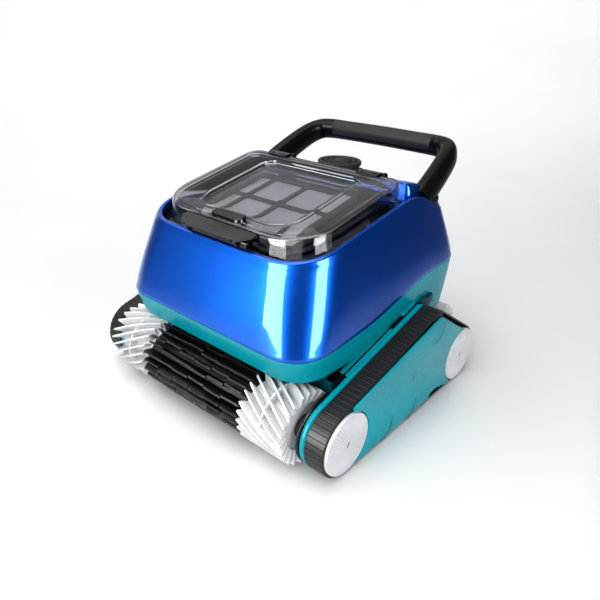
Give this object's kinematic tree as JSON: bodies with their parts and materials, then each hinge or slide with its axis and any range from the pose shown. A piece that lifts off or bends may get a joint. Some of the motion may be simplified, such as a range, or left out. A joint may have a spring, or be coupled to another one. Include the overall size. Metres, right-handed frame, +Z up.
{
  "type": "pool cleaner",
  "caption": "Tracked robotic pool cleaner with a brush roller at each end, a hinged clear filter lid with a latch, a water outlet and a rear carry handle.",
  "frame": {"origin": "centre of the footprint, on the ground under the tracks", "axes": "+Z up, +Y to the rear where the handle is, +X to the cleaner's right-hand side when it faces -Y"},
  "size_m": [0.43, 0.427, 0.3401],
  "materials": {
    "metallic_blue": "gloss metallic",
    "teal_plastic": "satin gloss",
    "gloss_black": "gloss",
    "matt_black": "fine matt",
    "belt_rubber": "semi-gloss moulded",
    "black_rubber": "semi-gloss moulded",
    "white_pvc": "satin",
    "light_grey_plastic": "fine matt",
    "smoked_clear": "smoked clear, polished",
    "filter_mesh": "woven mesh",
    "steel": "brushed",
    "circuit_board": "satin"
  },
  "bodies": {
    "chassis": {"cowl": "metallic_blue", "rear_deck": "metallic_blue", "chassis_tub": "teal_plastic", "inner_side_plate_left": "teal_plastic", "inner_side_plate_right": "teal_plastic", "side_cover_left": "teal_plastic", "side_cover_right": "teal_plastic", "handle": "gloss_black", "handle_grip": "gloss_black", "filter_bay": "gloss_black", "filter_basket": "gloss_black", "latch_box": "matt_black", "outlet_grille": "matt_black", "outlet_duct": "matt_black", "cable_gland": "matt_black", "motor_housing": "matt_black", "motor_housing_lid": "matt_black", "filter_grid": "matt_black", "grid_screw": "matt_black", "track_belt_left": "belt_rubber", "track_belt_right": "belt_rubber", "filter_screen": "filter_mesh", "pump_motor": "steel", "drive_motor_left": "steel", "drive_motor_right": "steel", "hinge_pin_left": "steel", "hinge_pin_right": "steel", "latch_pin": "steel", "wheel_axle_front_left": "steel", "wheel_axle_front_right": "steel", "wheel_axle_rear_left": "steel", "wheel_axle_rear_right": "steel", "control_board": "circuit_board"},
    "front_left_wheel": {"wheel_front_left": "teal_plastic", "hub_cap_front_left": "light_grey_plastic"},
    "front_right_wheel": {"wheel_front_right": "teal_plastic", "hub_cap_front_right": "light_grey_plastic"},
    "rear_left_wheel": {"wheel_rear_left": "teal_plastic", "hub_cap_rear_left": "light_grey_plastic"},
    "rear_right_wheel": {"wheel_rear_right": "teal_plastic", "hub_cap_rear_right": "light_grey_plastic"},
    "left_drive_roller": {"drive_roller_left": "matt_black"},
    "right_drive_roller": {"drive_roller_right": "matt_black"},
    "front_brush": {"front_brush_core": "matt_black", "front_brush_blades": "black_rubber", "front_brush_sleeve_left": "white_pvc", "front_brush_sleeve_right": "white_pvc"},
    "rear_brush": {"rear_brush_core": "matt_black", "rear_brush_blades": "black_rubber", "rear_brush_sleeve_left": "white_pvc", "rear_brush_sleeve_right": "white_pvc"},
    "lid_body": {"lid": "smoked_clear", "lid_tab": "gloss_black", "lid_hinge_left": "matt_black", "lid_hinge_right": "matt_black"},
    "latch_body": {"latch_flap": "matt_black"},
    "impeller_body": {"impeller": "white_pvc"},
    "left_intake_flap": {"intake_flap_left": "black_rubber"},
    "right_intake_flap": {"intake_flap_right": "black_rubber"}
  },
  "joints": [
    {"name": "front_left_wheel_spin", "type": "hinge", "parent": "chassis", "child": "front_left_wheel", "pos_m": [-0.197, -0.14685, 0.0443], "axis": [1, 0, 0], "continuous": true},
    {"name": "rear_left_wheel_spin", "type": "hinge", "parent": "chassis", "child": "rear_left_wheel", "pos_m": [-0.197, 0.13315, 0.0443], "axis": [1, 0, 0], "continuous": true},
    {"name": "left_drive_roller_spin", "type": "hinge", "parent": "chassis", "child": "left_drive_roller", "pos_m": [-0.197, 0.05415, 0.126], "axis": [1, 0, 0], "continuous": true},
    {"name": "front_right_wheel_spin", "type": "hinge", "parent": "chassis", "child": "front_right_wheel", "pos_m": [0.197, -0.14685, 0.0443], "axis": [1, 0, 0], "continuous": true},
    {"name": "rear_right_wheel_spin", "type": "hinge", "parent": "chassis", "child": "rear_right_wheel", "pos_m": [0.197, 0.13315, 0.0443], "axis": [1, 0, 0], "continuous": true},
    {"name": "right_drive_roller_spin", "type": "hinge", "parent": "chassis", "child": "right_drive_roller", "pos_m": [0.197, 0.05415, 0.126], "axis": [1, 0, 0], "continuous": true},
    {"name": "front_brush_spin", "type": "hinge", "parent": "chassis", "child": "front_brush", "pos_m": [0, -0.16552, 0.05423], "axis": [1, 0, 0], "continuous": true},
    {"name": "rear_brush_spin", "type": "hinge", "parent": "chassis", "child": "rear_brush", "pos_m": [0, 0.15182, 0.05423], "axis": [1, 0, 0], "continuous": true},
    {"name": "impeller_spin", "type": "hinge", "parent": "chassis", "child": "impeller_body", "pos_m": [0, 0.09215, 0.21], "axis": [0, 0, 1], "continuous": true},
    {"name": "lid_hinge", "type": "hinge", "parent": "chassis", "child": "lid_body", "pos_m": [0, 0.05715, 0.3055], "axis": [-1, 0, 0], "range_deg": [0, 110]},
    {"name": "latch_hinge", "type": "hinge", "parent": "chassis", "child": "latch_body", "pos_m": [0, -0.16185, 0.2564], "axis": [1, 0, 0], "range_deg": [0, 45], "stiffness_Nm_per_rad": 0.02, "springref_deg": -28.65},
    {"name": "left_intake_flap_hinge", "type": "hinge", "parent": "chassis", "child": "left_intake_flap", "pos_m": [-0.07, -0.05335, 0.024], "axis": [-1, 0, 0], "range_deg": [0, 60]},
    {"name": "right_intake_flap_hinge", "type": "hinge", "parent": "chassis", "child": "right_intake_flap", "pos_m": [0.07, -0.05335, 0.024], "axis": [-1, 0, 0], "range_deg": [0, 60]}
  ],
  "couplings": [
    {"joint": "rear_left_wheel_spin", "follows": "front_left_wheel_spin", "ratio": 1},
    {"joint": "left_drive_roller_spin", "follows": "front_left_wheel_spin", "ratio": 2.7867},
    {"joint": "rear_right_wheel_spin", "follows": "front_right_wheel_spin", "ratio": 1},
    {"joint": "right_drive_roller_spin", "follows": "front_right_wheel_spin", "ratio": 2.7867},
    {"joint": "front_brush_spin", "follows": "front_right_wheel_spin", "ratio": -1.3333},
    {"joint": "rear_brush_spin", "follows": "front_left_wheel_spin", "ratio": -1.3333}
  ]
}
